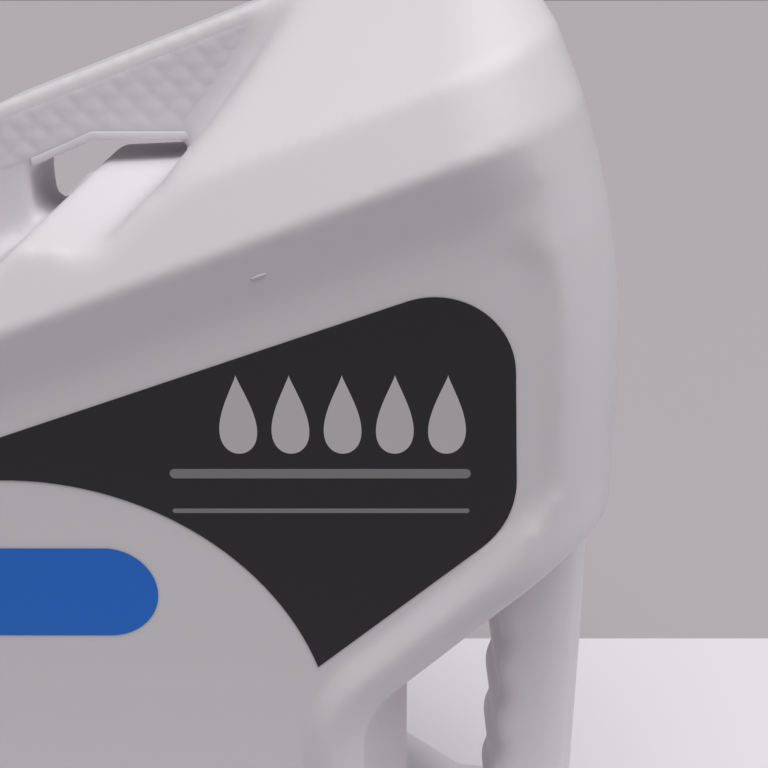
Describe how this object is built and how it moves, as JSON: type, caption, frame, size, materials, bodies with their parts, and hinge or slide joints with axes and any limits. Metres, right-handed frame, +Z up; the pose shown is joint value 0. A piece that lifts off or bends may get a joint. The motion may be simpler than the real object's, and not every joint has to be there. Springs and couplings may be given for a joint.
{
  "type": "motor oil bottle",
  "caption": "White blow-moulded motor oil jug with a carrying handle on top, a grooved side grip, a sunk label panel and a ribbed screw cap on an offset neck.",
  "frame": {"origin": "centre of the jug's footprint, on the surface it stands on", "axes": "+Z up, +X towards the side grip, -Y towards the front with the label film"},
  "size_m": [0.208, 0.118, 0.3079],
  "materials": {
    "hdpe_white": "satin",
    "label_film": "satin",
    "cap_plastic": "satin",
    "liner_foam": "matte"
  },
  "bodies": {
    "bottle": {"bottle": "hdpe_white", "front_label": "label_film", "tamper_band": "cap_plastic"},
    "liner": {"cap_liner": "liner_foam"},
    "cap": {"cap": "cap_plastic"}
  },
  "joints": [
    {"name": "cap_lift", "type": "slide", "parent": "bottle", "child": "liner", "axis": [0, 0, 1], "range_m": [0, 0.0101]},
    {"name": "cap_turn", "type": "hinge", "parent": "liner", "child": "cap", "pos_m": [-0.08, 0, 0.254], "axis": [0, 0, 1], "range_deg": [0, 720]}
  ],
  "couplings": [
    {"joint": "cap_lift", "follows": "cap_turn", "m_per_rad": 0.00079577}
  ]
}
